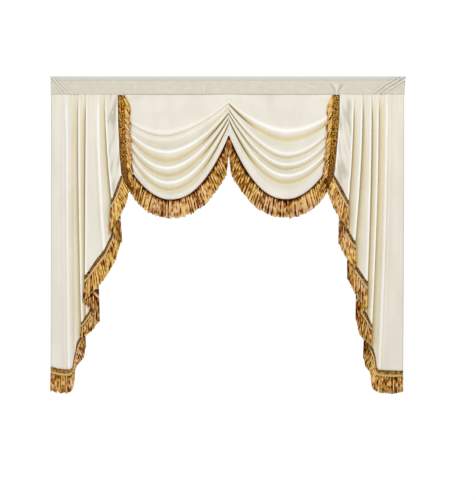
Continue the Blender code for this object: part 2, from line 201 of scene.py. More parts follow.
def heading_outline():
    """Return the band's outline from its back foot, over the fold, to its front foot, as (y, z)."""
    half = heading_thick / 2
    outline = [(half - 0.0015, -heading_height), (half, -heading_height + 0.0015)]
    outline += [(half, -drop) for drop in (0.07, 0.04, 0.02)]
    for step in range(9):
        angle = math.pi * step / 8
        outline.append((half * math.cos(angle), half * math.sin(angle) - half))
    for drop in np.linspace(0.008, heading_height - 0.0015, 30):
        outline.append((-half, -drop))
    outline.append((-half + 0.0015, -heading_height))
    return outline


def heading_creases(x, z):
    """Return how far puckers and drag lines raise the front of the band."""
    stray = noise.noise(Vector((x * 14, z * 14, 21.0)))
    lift = 0.0
    for middle, high in puckers:
        fan = (x - middle) / (z + pucker_root)
        height = min(1.0, max(0.0, (-z - pucker_top) / pucker_grows_over))
        lift += high * height * math.exp(-(fan / 1.1) ** 2) * math.cos(fan * 8 + 2.5 * stray)
    for end, way, reach, high, steep in end_creases:
        along = (x - end) * way
        across = steep * along + math.sqrt(1 - steep ** 2) * z
        held = min(1.0, max(0.0, (reach - along) / crease_fades_over))
        held *= math.exp(-(across / crease_spread) ** 2)
        lift += high * held * math.sin(across * crease_waves + 3.0 * stray)
    aside = z - drag_z + drag_fall * (x - drag_x)
    near = math.exp(-(aside / drag_spread) ** 2 - ((x - drag_middle) / drag_half) ** 2)
    return lift + drag_lift * near * math.cos(aside * drag_waves)


def heading_lift(x, z):
    """Return how far the front of the band stands out, with the stitched groove pulled in."""
    groove = math.exp(-((z + stitch_drop) / stitch_pull_width) ** 2)
    stitch = -stitch_pull * groove * (0.75 + 0.25 * math.cos(2 * math.pi * x / stitch_pitch))
    slack = noise.noise(Vector((x * 7, z * 16, 4.0))) + 0.5 * noise.noise(Vector((x * 21, z * 34, 9.0)))
    return heading_creases(x, z) + stitch + heading_slack * slack * (1 - groove)


def heading_cloth():
    cloth = Finish("heading_velvet", 0.82, sheen=0.25, sheen_roughness=0.5, sheen_tint=(1.0, 0.98, 0.94))
    places = cloth.places()
    height = cloth.node("ShaderNodeSeparateXYZ", {}, {"Vector": places}, "Z")
    strip = height.stepped(-stitch_drop - 0.0015, -stitch_drop + 0.0015)
    # The foot of the band is painted darker, as shade where the gathered panels are sewn in.
    foot = (0 - height).stepped(0.093, 0.100)
    nap = cloth.grain(cloth.stretched(places, 1, 1, 1.8), 24, 4)
    weave = cloth.grain(cloth.stretched(places, 1, 1, 0.45), 620, 2)
    colour = cloth.blend(nap.stepped(0.3, 0.75) * 0.55 + 0.2, dye(*heading_faces), dye(222, 216, 200))
    colour = cloth.blend(strip, colour, dye(*heading_strip))
    colour = cloth.blend(foot * 0.25, colour, dye(186, 178, 158))
    # Painted highlight where the creases stand out and painted shade where they sink.
    drag = cloth.painted("drag")
    colour = cloth.blend(drag.stepped(0.1, 1.0) * 0.7, colour, dye(240, 236, 224))
    colour = cloth.blend((0 - drag).stepped(0.1, 1.0) * 0.7, colour, dye(164, 156, 136))
    colour = cloth.blend(weave.stepped(0.3, 0.62) * -0.16 + 0.16, colour, dye(176, 168, 148))
    cloth.coloured(colour)
    cloth.raised(weave * 0.6 + nap * 0.4, 0.0006, 0.6)
    return cloth.material


bm = bmesh.new()
kept_drag = bm.verts.layers.float.new("drag")
end = bm.faces.new([bm.verts.new((heading_left, y, z)) for y, z in heading_outline()])
stations = 420
for station in range(stations):
    drawn = bmesh.ops.extrude_face_region(bm, geom=[end])["geom"]
    if station:
        bmesh.ops.delete(bm, geom=[end], context="FACES_ONLY")
    end = next(item for item in drawn if isinstance(item, bmesh.types.BMFace))
    bmesh.ops.translate(bm, verts=end.verts, vec=((heading_right - heading_left) / stations, 0, 0))
for vert in bm.verts:
    x, y, z = vert.co
    if y < -heading_thick / 4:
        vert.co.y -= heading_lift(x, z)
        # The crease lift is kept on the band for its painted highlight and shade.
        vert[kept_drag] = heading_creases(x, z) / full_crease
    near_right = max(0.0, 1 - (heading_right - x) / pinch_over)
    near_left = max(0.0, 1 - (x - heading_left) / pinch_over)
    vert.co.x += (near_left * left_pinch - near_right * right_pinch) * min(1.0, -z / heading_height)
heading = sewn_on(finished("heading_band", bm, heading_cloth()), "heading_velvet", "heading")


def yarns(name, paths, radii, material, **painted):
    """Return round yarns as one mesh. Paths is (yarns, points, 3); each painted list has a value for
    each yarn, or for each of its points, and is kept on the mesh."""
    count, points = paths.shape[:2]
    line = bpy.data.curves.new(name, "CURVE")
    line.dimensions = "3D"
    line.bevel_depth = 1.0
    line.bevel_resolution = 0
    for path, radius in zip(paths, radii):
        spline = line.splines.new("POLY")
        spline.points.add(points - 1)
        spline.points.foreach_set("co", np.column_stack((path, np.ones(points))).ravel())
        spline.points.foreach_set("radius", np.asarray(radius, float))
    drawn = bpy.data.objects.new(name, line)
    bpy.context.scene.collection.objects.link(drawn)
    bpy.context.view_layer.update()
    mesh = bpy.data.meshes.new_from_object(drawn.evaluated_get(bpy.context.evaluated_depsgraph_get()))
    bpy.data.objects.remove(drawn, do_unlink=True)
    mesh.name = name
    bm = bmesh.new()
    bm.from_mesh(mesh)
    bmesh.ops.holes_fill(bm, edges=bm.edges, sides=4)
    bm.to_mesh(mesh)
    bm.free()
    around = len(mesh.vertices) // (count * points)
    for key, values in painted.items():
        each = np.broadcast_to(np.asarray(values, float).reshape(count, -1), (count, points))
        kept = mesh.attributes.new(key, "FLOAT", "POINT")
        kept.data.foreach_set("value", np.repeat(each.ravel(), around).astype(np.float32))
    mesh.shade_smooth()
    mesh.materials.clear()
    mesh.materials.append(material)
    piece = bpy.data.objects.new(name, mesh)
    bpy.context.scene.collection.objects.link(piece)
    return piece


def thread_finish():
    thread = Finish("heading_thread", 0.6, sheen=0.2)
    grain = thread.grain(thread.places(), 300)
    thread.coloured(thread.blend(grain, dye(172, 168, 156), dye(206, 202, 190)))
    thread.raised(grain, 0.0002)
    return thread.material


starts = np.arange(heading_left + 0.006, heading_right - 0.012, stitch_pitch)
stitch = np.array(((0.0, 0.0004), (0.28, -0.0006), (0.72, -0.0006), (1.0, 0.0004)))
stitches = np.empty((len(starts), len(stitch), 3))
for index, (share, sink) in enumerate(stitch):
    stitches[:, index, 0] = starts + stitch_long * share
    stitches[:, index, 1] = -heading_thick / 2 + 0.0012 + sink
    stitches[:, index, 2] = -stitch_drop
thread_radii = np.full((len(starts), len(stitch)), 0.00055)
sewn_on(yarns("heading_stitches", stitches, thread_radii, thread_finish()), "heading_velvet")

# Each tail is one velvet panel, knife-pleated into the heading and cut on a slant, so that the
# pleats open as they fall and the lower edge steps outwards in a cascade to a level hem.
cloth_top = -heading_height - 0.0005
cloth_thick = 0.0014
pleats_open_over = 0.55
pleat_lean = 1.7
turn_top, turn_low = 0.0012, 0.0075
turn_steps = 6
tail_rows, tail_step = 160, 0.009
sides = {"left": -1, "right": 1}
Fold = namedtuple("Fold", "turn x_top x_low depth_top depth_low cut tip_x tip")
tail_folds = {
    "left": (
        Fold(0, 0.620, 0.597, 0.0064, 0.052, -0.553, 0.551, -0.643),
        Fold(0, 0.657, 0.626, 0.0052, 0.050, -0.632, 0.576, -0.739),
        Fold(1, 0.691, 0.652, 0.0052, 0.062, -0.688, 0.663, -0.868),
        Fold(-1, 0.640, 0.602, 0.0028, 0.024, -0.772, 0.594, -0.930),
        Fold(0, 0.699, 0.657, 0.0016, 0.032, -0.896, 0.633, -1.037),
        Fold(0, 0.731, 0.692, 0.0064, 0.042, -0.972, 0.668, -1.100),
        Fold(0, 0.764, 0.738, 0.0064, 0.055, -1.029, 0.710, -1.163),
        Fold(1, 0.797, 0.801, 0.0052, 0.064, -1.115, 0.812, -1.261),
        Fold(-1, 0.740, 0.722, 0.0028, 0.024, -1.196, 0.720, -1.379),
        Fold(0, 0.800, 0.778, 0.0016, 0.040, -1.317, 0.765, -1.432),
        Fold(0, 0.811, 0.802, 0.0064, 0.050, -1.352, 0.788, -1.450),
        Fold(1, 0.841, 0.822, 0.0052, 0.052, -1.379, 0.826, -1.463),
        Fold(-1, 0.815, 0.800, 0.0028, 0.022, -1.435, 0.795, -1.520),
        Fold(0, 0.850, 0.848, 0.0016, 0.016, -1.486, 0.804, -1.570),
        Fold(0, 0.866, 0.858, 0.0016, 0.014, -1.548, 0.834, -1.610),
        Fold(0, 0.880, 0.869, 0.0032, 0.026, -1.606, 0.858, -1.636),
        Fold(0, 0.890, 0.872, 0.0040, 0.030, -1.640, 0.862, -1.758),
        Fold(0, 0.906, 0.893, 0.0064, 0.038, -1.643, 0.888, -1.778),
        Fold(0, 0.934, 0.926, 0.0032, 0.018, -1.642, 0.926, -1.778),
        Fold(0, 0.966, 0.964, 0.0044, 0.014, -1.636, 0.964, -1.773),
        Fold(0, 0.994, 0.996, 0.0032, 0.006, -1.627, 0.998, -1.763),
    ),
    "right": (
        Fold(0, 0.628, 0.594, 0.0064, 0.052, -0.553, 0.556, -0.649),
        Fold(0, 0.659, 0.634, 0.0052, 0.050, -0.621, 0.592, -0.750),
        Fold(1, 0.706, 0.676, 0.0052, 0.062, -0.697, 0.674, -0.851),
        Fold(-1, 0.650, 0.621, 0.0028, 0.024, -0.772, 0.618, -0.938),
        Fold(0, 0.7085, 0.668, 0.0016, 0.043, -0.850, 0.645, -0.990),
        Fold(0, 0.7165, 0.684, 0.0064, 0.052, -0.882, 0.662, -1.020),
        Fold(1, 0.756, 0.713, 0.0052, 0.062, -0.924, 0.716, -1.065),
        Fold(-1, 0.719, 0.666, 0.0028, 0.024, -0.997, 0.669, -1.143),
        Fold(0, 0.7585, 0.708, 0.0016, 0.036, -1.045, 0.703, -1.205),
        Fold(0, 0.7665, 0.745, 0.0064, 0.051, -1.100, 0.742, -1.262),
        Fold(1, 0.806, 0.782, 0.0052, 0.060, -1.149, 0.777, -1.306),
        Fold(-1, 0.769, 0.716, 0.0028, 0.022, -1.225, 0.716, -1.368),
        Fold(0, 0.8085, 0.757, 0.0016, 0.035, -1.296, 0.733, -1.440),
        Fold(0, 0.8165, 0.783, 0.0064, 0.048, -1.342, 0.757, -1.475),
        Fold(1, 0.846, 0.808, 0.0052, 0.054, -1.390, 0.805, -1.508),
        Fold(-1, 0.8195, 0.762, 0.0028, 0.022, -1.441, 0.757, -1.588),
        Fold(0, 0.850, 0.808, 0.0016, 0.024, -1.508, 0.772, -1.632),
        Fold(0, 0.862, 0.826, 0.0020, 0.024, -1.562, 0.792, -1.650),
        Fold(0, 0.872, 0.832, 0.0030, 0.026, -1.610, 0.800, -1.674),
        Fold(0, 0.880, 0.832, 0.0040, 0.030, -1.638, 0.802, -1.758),
        Fold(0, 0.893, 0.850, 0.0064, 0.036, -1.645, 0.838, -1.776),
        Fold(0, 0.922, 0.900, 0.0032, 0.018, -1.648, 0.898, -1.781),
        Fold(0, 0.956, 0.946, 0.0044, 0.014, -1.650, 0.944, -1.781),
        Fold(0, 0.990, 0.984, 0.0032, 0.006, -1.651, 0.984, -1.773),
    ),
}
# Rows of the folds whose edges show as bright ridges, each with how deep its shadow is close by
# and how deep it is over the cloth beyond.
tail_ridges = {
    "left": {0: (0.45, 0.40), 2: (0.30, 0.80), 5: (0.45, 0.25), 7: (0.10, 1.00), 11: (0.45, 0.75),
             17: (0.45, 0.12)},
    "right": {0: (0.45, 0.50), 2: (0.35, 0.95), 6: (0.35, 0.95), 10: (0.35, 0.95), 14: (0.35, 0.95),
              20: (0.45, 0.30)},
}
# How dark a turned fold's back is, where it turns under and where it comes out again.
tail_back_shade = {"left": (0.8, 1.2), "right": (0.0, 1.1)}
groove_from_ridge, groove_width, groove_depth = 0.010, 0.005, 0.011
# Widths of the painted highlight on a ridge and of the painted shade beside it, and the depth behind a ridge at
# which that shade is full.
crest_width, shadow_near, shadow_far, shadow_depth = 0.006, 0.005, 0.030, 0.010
crinkle_lift, slack_lift, gather_lift, gather_fades_over = 0.010, 0.0009, 0.0012, 0.16
# The drop below the heading over which the painted highlight and shade grow to full.
shade_grows_over = 0.16


def mix(a, b, share):
    return a + (b - a) * share


def opening(z):
    """Return how far the pleats have opened at a height, from 0 at the heading to 1."""
    fall = np.clip((cloth_top - z) / pleats_open_over, 0, 1)
    return 1 - (1 - fall) ** 2


def softened(lines, passes):
    """Round the bends of lines that are given point by point along their last axis."""
    for _ in range(passes):
        inner = (lines[..., :-2] + 2 * lines[..., 1:-1] + lines[..., 2:]) / 4
        lines = np.concatenate((lines[..., :1], inner, lines[..., -1:]), axis=-1)
    return lines


def unfolded(turns, x, depth, z, counts):
    """Return (x, depth, z) along a folded section, with a round turn at each fold. Its stops run
    along the last axis of x, depth and z, and there may be a section for each of many heights."""
    radius = mix(turn_top, turn_low, opening(z))
    parts = []
    leave = None
    for index, turn in enumerate(turns):
        stop = np.stack((x[..., index], depth[..., index], z[..., index]))
        bend = [stop]
        if turn:
            bend = []
            for step in range(turn_steps + 1):
                angle = math.pi * (0.5 - step / turn_steps)
                way = (turn * (math.cos(angle) - 1), math.sin(angle), 0)
                bend.append(stop + np.multiply.outer(way, radius[..., index]))
        if leave is not None:
            count = counts[index - 1]
            parts += [mix(leave, bend[0], step / count) for step in range(1, count)]
        parts += bend
        leave = bend[-1]
    return np.stack(parts, axis=-1)


class Tail:
    """A tail's folds, worked out at fine steps: its columns at any height, its edge and its tips."""

    def __init__(self, side):
        folds = tail_folds[side]
        self.side = side
        self.sign = sides[side]
        table = {key: np.array([getattr(fold, key) for fold in folds]) for key in Fold._fields}
        turns = table["turn"]
        self.counts = []
        for first, second in zip(folds, folds[1:]):
            width = math.hypot(second.x_low - first.x_low, second.cut - first.cut)
            self.counts.append(max(3, round(width / tail_step)))
        self.marks = [0]
        for index in range(1, len(folds)):
            self.marks.append(self.marks[-1] + self.counts[index - 1] + (turn_steps if turns[index] else 0))
        self.levels = np.linspace(cloth_top + 0.001, -1.80, 260)
        z = np.repeat(self.levels[:, None], len(folds), axis=1)
        fall = np.clip((cloth_top - z) / (cloth_top - table["cut"]), 0, 1)
        x = mix(table["x_top"], table["x_low"], fall ** pleat_lean)
        depth = mix(table["depth_top"], table["depth_low"], opening(z))
        self.sections = softened(unfolded(turns, x, depth, z, self.counts)[:2], 3)
        for index in tail_ridges[side]:
            if index and not turns[index]:
                mark = self.marks[index]
                beyond = self.sections[0] - self.sections[0][:, mark, None]
                groove = np.exp(-((beyond - groove_from_ridge) / groove_width) ** 2)
                groove *= np.arange(beyond.shape[1]) > mark
                self.sections[1] -= groove_depth * groove * opening(z[:, :1])
        self.ridges = {self.marks[index] - (turn_steps - 1 if turns[index] else 0): shadow
                       for index, shadow in tail_ridges[side].items()}
        flat = unfolded(turns, table["x_low"], table["depth_low"], table["cut"], self.counts)
        self.cuts = softened(flat[2], 5)
        tip_depth = mix(table["depth_top"], table["depth_low"], opening(table["tip"]))
        self.tips = softened(unfolded(turns, table["tip_x"], tip_depth, table["tip"], self.counts), 5)
        self.columns = len(self.cuts)
        # Painted shade for the fringe along each turned-under back of a fold, fading out after the cloth comes
        # out again.
        self.turned = np.zeros(self.columns)
        for index, turn in enumerate(turns):
            if turn == 1:
                under, out = (self.marks[fold] - turn_steps // 2 for fold in (index, index + 1))
                self.turned[under:out] = np.linspace(*tail_back_shade[side], out - under)
                fading = self.turned[out:out + 2 * turn_steps]
                fading += tail_back_shade[side][1] * np.linspace(0.8, 0, len(fading))

    def at(self, column, z):
        """Return x and depth of a column at a height or at several."""
        drop = -np.asarray(z)
        return [np.interp(drop, -self.levels, line[:, column]) for line in self.sections]


def tail_crest_and_tuck(ridges, x, depth):
    """Return a painted highlight for how near each point of one level is to a ridge, and painted shade for how
    deep it lies beside one.
    """
    along = np.concatenate(([0], np.cumsum(np.hypot(np.diff(x), np.diff(depth)))))
    crest = np.zeros_like(x)
    tuck = np.zeros_like(x)
    for ridge, (close, wide) in ridges.items():
        crest = np.maximum(crest, np.exp(-((along - along[ridge]) / crest_width) ** 2))
        beyond = x - x[ridge]
        behind = np.clip((depth[ridge] - depth) / shadow_depth, 0, 1)
        shade = close * np.exp(-beyond / shadow_near) + wide * np.exp(-beyond / shadow_far)
        tuck = np.maximum(tuck, np.where(beyond > -0.002, shade * behind, 0))
    return crest, np.clip(tuck, 0, 1)


def set_sheet(name, grid, material, **painted):
    """Hang a sheet over a grid of (rows, columns, 3) points, with the painted values kept on it."""
    rows, columns = grid.shape[:2]
    bm = bmesh.new()
    for key in painted:
        bm.verts.layers.float.new(key)
    kept = [(bm.verts.layers.float[key], values) for key, values in painted.items()]
    made = bmesh.ops.create_grid(bm, x_segments=columns - 1, y_segments=rows - 1, size=1.0)
    for vert in made["verts"]:
        column = round((vert.co.x + 1) / 2 * (columns - 1))
        row = round((1 - vert.co.y) / 2 * (rows - 1))
        for layer, values in kept:
            vert[layer] = values[row, column]
        vert.co = grid[row, column]
    return thickened(finished(name, bm, material, turned=False), cloth_thick)


def cream_velvet(name):
    cloth = Finish(name, 0.72, sheen=0.45, sheen_roughness=0.35, sheen_tint=(1.0, 0.97, 0.90))
    places = cloth.places()
    crest = cloth.painted("crest")
    tuck = cloth.painted("tuck")
    crumple = cloth.painted("crumple")
    nap = cloth.grain(cloth.stretched(places, 1, 1, 0.35), 10, 3)
    pile = cloth.grain(cloth.stretched(places, 1, 1, 0.5), 520, 2)
    colour = cloth.blend(nap.stepped(0.3, 0.7), dye(228, 223, 208), dye(235, 230, 217))
    # Painted shade beside and below folds, from warm shade to near black.
    colour = cloth.blend(tuck.stepped(0.0, 0.7) * 0.8, colour, dye(221, 203, 150))
    colour = cloth.blend(tuck.stepped(0.6, 1.0) * 0.8, colour, dye(158, 132, 78))
    colour = cloth.blend(tuck.stepped(0.95, 1.4) * 0.9, colour, dye(66, 48, 22))
    # Painted grey shade in small creases.
    colour = cloth.blend(crumple.stepped(0.0, 1.0) * 0.8, colour, dye(182, 174, 154))
    # Painted highlight along fold edges and drape ridges.
    colour = cloth.blend(crest, colour, dye(255, 255, 250))
    colour = cloth.blend(pile.stepped(0.3, 0.6) * -0.08 + 0.08, colour, dye(206, 192, 160))
    cloth.coloured(colour)
    cloth.raised(pile * 0.5 + nap * 0.5, 0.0005, 0.5)
    return cloth.material


def hang_tail(tail, material):
    """Hang a tail column by column. Its inner panel is crinkled, the cloth between its pleats has
    slack creases, and fine gathers run down from the heading."""
    share = np.linspace(0, 1, tail_rows + 1) ** 1.15
    grid = np.empty((tail_rows + 1, tail.columns, 3))
    crumple = np.zeros(grid.shape[:2])
    gathers = np.zeros(grid.shape[:2])
    for column in range(tail.columns):
        z = mix(cloth_top, tail.cuts[column], share)
        x, depth = tail.at(column, z)
        inner = max(0.0, 1 - column / tail.marks[2]) ** 0.3
        for row in range(tail_rows + 1):
            slack = noise.noise(Vector((x[row] * 26, z[row] * 7, 2.0 + tail.sign)))
            slack += 0.4 * noise.noise(Vector((x[row] * 70, z[row] * 16, 5.0 - tail.sign)))
            crinkle = noise.noise(Vector((x[row] * 44 + z[row] * 9, z[row] * 7 - x[row] * 6, 8.0 + tail.sign)))
            # Painted grey shade in the hollows of the inner panel's crinkles.
            crumple[row, column] = inner * min(1.0, max(0.0, 0.34 - 1.5 * crinkle))
            fine = math.sin(x[row] * 300 + 4 * noise.noise(Vector((x[row] * 9, z[row] * 3, 11.0 + tail.sign))))
            # Painted shade in the hollows between the fine gathers below the heading.
            high = math.exp(-(cloth_top - z[row]) / gather_fades_over) * (1 - inner)
            gathers[row, column] = 0.42 * high * max(0.0, fine)
            loose = slack_lift * slack + crinkle_lift * inner * crinkle
            depth[row] += loose * min(1.0, (cloth_top - z[row]) / 0.05) - gather_lift * high * fine
        grid[:, column] = np.column_stack((tail.sign * x, heading_thick / 2 - depth, z))
    # Painted highlight along the ridges and painted shade beside them, worked out level by level.
    shades = np.array([tail_crest_and_tuck(tail.ridges, *level) for level in tail.sections.transpose(1, 0, 2)])
    crest, tuck = np.empty(grid.shape[:2]), np.empty(grid.shape[:2])
    for column in range(tail.columns):
        drop = -grid[:, column, 2]
        eased = np.clip(0.35 + (cloth_top + drop) / shade_grows_over, 0, 1)
        crest[:, column] = np.interp(drop, -tail.levels, shades[:, 0, column]) * eased
        tuck[:, column] = np.interp(drop, -tail.levels, shades[:, 1, column]) * eased
    return set_sheet("pleated_tail_" + tail.side, grid, material,
                     crest=crest, tuck=np.maximum(tuck, gathers), crumple=crumple)


velvet = cream_velvet("cream_velvet")
tails = {side: Tail(side) for side in sides}
for side, tail in tails.items():
    panel = sewn_on(hang_tail(tail, velvet), "cream_velvet", "tail_" + side)

# Each swag is one velvet cloth, gathered on two upright lines, so that its slack falls in deep
# rounded drapes that hang lowest at its middle. Its lowest drape rolls under above the fringe.
Drape = namedtuple("Drape", "outer low_x low inner swell bow")
swag_drapes = {
    "left": (
        Drape(cloth_top, 0.330, cloth_top, cloth_top, 0.000, 1.7),
        Drape(-0.150, 0.355, -0.195, -0.118, 0.016, 1.7),
        Drape(-0.216, 0.358, -0.316, -0.141, 0.040, 1.7),
        Drape(-0.231, 0.356, -0.338, -0.151, 0.026, 1.7),
        Drape(-0.250, 0.354, -0.358, -0.166, 0.034, 1.7),
        Drape(-0.262, 0.350, -0.394, -0.178, 0.022, 1.7),
        Drape(-0.275, 0.343, -0.427, -0.194, 0.058, 1.75),
        Drape(-0.294, 0.343, -0.484, -0.208, 0.028, 1.75),
        Drape(-0.312, 0.343, -0.517, -0.222, 0.068, 1.8),
        Drape(-0.331, 0.340, -0.566, -0.236, 0.036, 1.85),
        Drape(-0.351, 0.335, -0.599, -0.250, 0.078, 1.95),
        Drape(-0.372, 0.332, -0.644, -0.268, 0.048, 2.05),
        Drape(-0.402, 0.328, -0.672, -0.290, 0.086, 2.15),
        Drape(-0.424, 0.326, -0.685, -0.306, 0.086, 2.2),
        Drape(-0.444, 0.326, -0.692, -0.327, 0.068, 2.2),
    ),
    "right": (
        Drape(cloth_top, 0.330, cloth_top, cloth_top, 0.000, 1.7),
        Drape(-0.148, 0.320, -0.190, -0.118, 0.016, 1.7),
        Drape(-0.196, 0.320, -0.308, -0.143, 0.042, 1.7),
        Drape(-0.226, 0.320, -0.366, -0.158, 0.014, 1.7),
        Drape(-0.262, 0.320, -0.436, -0.177, 0.058, 1.7),
        Drape(-0.284, 0.320, -0.464, -0.190, 0.034, 1.75),
        Drape(-0.308, 0.320, -0.497, -0.202, 0.064, 1.8),
        Drape(-0.331, 0.320, -0.528, -0.214, 0.036, 1.85),
        Drape(-0.358, 0.320, -0.560, -0.230, 0.074, 1.9),
        Drape(-0.380, 0.320, -0.606, -0.250, 0.042, 2.0),
        Drape(-0.402, 0.320, -0.656, -0.278, 0.086, 2.1),
        Drape(-0.422, 0.320, -0.682, -0.304, 0.086, 2.2),
        Drape(-0.440, 0.320, -0.690, -0.327, 0.068, 2.2),
    ),
}
swag_middle, swag_inner, swag_outer = 0.005, 0.0008, 0.600
swag_columns, rows_in_drape = 150, 10
ruck_lift, swag_slack_lift = 0.0030, 0.0026
# The shape of the painted highlight and shade on the drapes: how wide a ridge's highlight is, how far the shade
# below a drape reaches, where the lowest drape's highlight lies and how wide it is, and how far the shade
# changes towards the ends and the gathered middle.
ridge_share, hollow_share, roll_share, roll_ridge_share = 0.13, 0.10, 0.30, 0.16
ends_over, pinch_reach = 0.16, 0.17
swag_places = mix(swag_inner, swag_outer,
                  mix((1 - np.cos(np.pi * np.linspace(0, 1, swag_columns + 1))) / 2,
                      np.linspace(0, 1, swag_columns + 1), 0.5))


def rounded(values, share):
    """Return a value on the smooth curve through a list, a share of the way along it."""
    last = len(values) - 1
    place = np.clip(share, 0, 1) * last
    index = np.minimum(place.astype(int), last - 1)
    t = place - index
    before = values[np.maximum(index - 1, 0)]
    first, second = values[index], values[index + 1]
    after = values[np.minimum(index + 2, last)]
    bend = 2 * before - 5 * first + 4 * second - after
    return first + 0.5 * t * (second - before + t * (bend + t * (3 * (first - second) + after - before)))


def swag_grid(side, share):
    """Return a swag's points, (rows, columns, 3), and their depths, for rows at shares of its drapes."""
    table = {key: np.array([getattr(drape, key) for drape in swag_drapes[side]]) for key in Drape._fields}
    smooth = {key: rounded(values, share)[:, None] for key, values in table.items()}
    swell = table["swell"]
    place = np.clip(share, 0, 1) * (len(swell) - 1)
    index = np.minimum(place.astype(int), len(swell) - 2)
    t = place - index
    eased = np.where(swell[index + 1] > swell[index], 1 - (1 - t) ** 2, t ** 2)
    smooth["swell"] = softened(mix(swell[index], swell[index + 1], eased), 2)[:, None]
    x = swag_places[None, :]
    out = np.clip((x - smooth["low_x"]) / (swag_outer - smooth["low_x"]), 0, 1)
    back = np.clip((smooth["low_x"] - x) / smooth["low_x"], 0, 1)
    outside = x > smooth["low_x"]
    z = np.where(outside, mix(smooth["low"], smooth["outer"], out ** 2.0),
                 mix(smooth["low"], smooth["inner"], back ** smooth["bow"]))
    fall = np.where(outside, out ** 1.5, back ** 2.0)
    depth = mix(0.0022, 0.014, share)[:, None] + smooth["swell"] * np.maximum(0.15, 1 - fall)
    return x + 0 * z, depth, z


def swag_crest_and_tuck(side, share, x):
    """Return a painted highlight for how near each point is to a ridge, and painted shade for how deep it lies
    below one, with a highlight along the rolled lowest drape and more shade at the gathered middle.
    """
    swell = np.array([drape.swell for drape in swag_drapes[side]])
    last = len(swell) - 1
    place = share * last
    crest = np.zeros_like(x)
    tuck = np.zeros_like(x)
    ends = np.clip(np.minimum(x, swag_outer - x) / ends_over, 0, 1)
    for index in range(2, last):
        if swell[index] > swell[index - 1] and swell[index] > swell[index + 1]:
            high = np.clip((swell[index] - swell[index + 1]) / 0.03, 0.35, 1)
            ridge = np.exp(-((place - index) / ridge_share) ** 2)
            crest = np.maximum(crest, high * ridge[:, None])
            below = np.clip(place - index, 0, 1)
            shade = np.where((place > index) & (place <= index + 1), below ** 1.1, 0)
            shade += np.where(place > index + 1, np.exp(-(place - index - 1) / hollow_share), 0)
            tuck = np.maximum(tuck, high * shade[:, None])
    rolled = np.exp(-((place - last + roll_share) / roll_ridge_share) ** 2)
    crest = np.maximum(crest, 0.9 * rolled[:, None])
    pinch = np.clip(1 - x / pinch_reach, 0, 1)
    return crest * (1 - 0.5 * pinch), tuck * (mix(0.95, 0.70, ends) + 1.2 * pinch)


def drape_swag(side, material):
    """Drape a swag row by row, with small rucks where it is gathered and slack between."""
    drapes = swag_drapes[side]
    rows = (len(drapes) - 1) * rows_in_drape
    share = np.linspace(0, 1, rows + 1)
    x, depth, z = swag_grid(side, share)
    crest, tuck = swag_crest_and_tuck(side, share, x)
    crumple = np.zeros_like(x)
    for row in range(rows + 1):
        for column in range(swag_columns + 1):
            # Painted grey shade in faint creases near the top of the swag.
            crease = noise.noise(Vector((x[row, column] * 11, z[row, column] * 20, 15.0 + sides[side])))
            crumple[row, column] = 0.45 * max(0.0, crease) * math.exp(-(share[row] * 7) ** 2)
            gather = min(x[row, column], swag_outer - x[row, column]) / (swag_outer / 2)
            ruck = noise.noise(Vector((x[row, column] * 5, share[row] * 34, 3.0 + sides[side])))
            slack = noise.noise(Vector((x[row, column] * 13, z[row, column] * 13, 7.0 + sides[side])))
            loose = ruck_lift * ruck * (1 - gather * 0.7) + swag_slack_lift * slack
            depth[row, column] += min(1, share[row] * 12) * loose
    grid = np.stack((swag_middle + sides[side] * x, heading_thick / 2 - depth, z), axis=-1)
    return set_sheet("draped_swag_" + side, grid, material, crest=crest, tuck=tuck, crumple=crumple)


for side in sides:
    sewn_on(drape_swag(side, velvet), "cream_velvet", "swag_" + side)

# The fringe is a woven gold header with a skirt of lustrous yarns, each drawn out of its foot. It
# is sewn to every free edge: under the swags, down each tail's inner edge, along its cascade and hem.
header_thick = 0.0022
header_share, edge_header_share, sewing_gap = 0.16, 0.31, 0.0012
swag_fringe_drop, splay, splay_grows_over, inner_splay_grows_over = 0.106, 0.42, 0.16, 0.06
side_header, side_reach, side_drop, side_tail = 0.040, 0.030, 0.092, 0.055
yarn_pitch, yarn_layers = 0.0025, 3
yarn_stops = np.array((0.0, 0.05, 0.20, 0.36, 0.52, 0.68, 0.84, 0.95, 1.0))
yarn_radius = 0.0014
lock_narrow, lock_wide, lock_tone, lock_shift = 0.005, 0.012, 0.20, 0.0010
chance = random.Random(41)


def depth_place(sign, x, depth, z, middle=0.0):
    across = middle + sign * np.asarray(x)
    return np.stack((across, heading_thick / 2 - np.asarray(depth), np.asarray(z)), axis=-1)


def swag_fringe(side):
    """Return the top, foot and tips of the fringe under a swag, as (points, 3)."""
    x, depth, z = swag_grid(side, np.array([1.0]))
    edge = depth_place(sides[side], x[0], depth[0], z[0], swag_middle)
    run = np.gradient(edge, axis=0)
    run /= np.linalg.norm(run, axis=1)[:, None]
    down = np.stack((run[:, 2], 0 * run[:, 0], -run[:, 0]), axis=1)
    down *= np.where(down[:, 2:] > 0, -1, 1)
    near_end = np.minimum(swag_places / inner_splay_grows_over, (swag_outer - swag_places) / splay_grows_over)
    share = (splay * np.minimum(1, near_end))[:, None]
    hang = down * share + np.array((0, 0, -1.0)) * (1 - share)
    hang /= np.linalg.norm(hang, axis=1)[:, None]
    heads = edge + np.array((0, 0, -sewing_gap))
    tips = heads + hang * swag_fringe_drop
    # Painted shade on the fringe near the gathered middle and near the outer end.
    shaded = 1.6 * np.exp(-swag_places / 0.06) + 0.7 * np.exp((swag_places - swag_outer) / 0.10)
    return heads, mix(heads, tips, header_share), tips, shaded


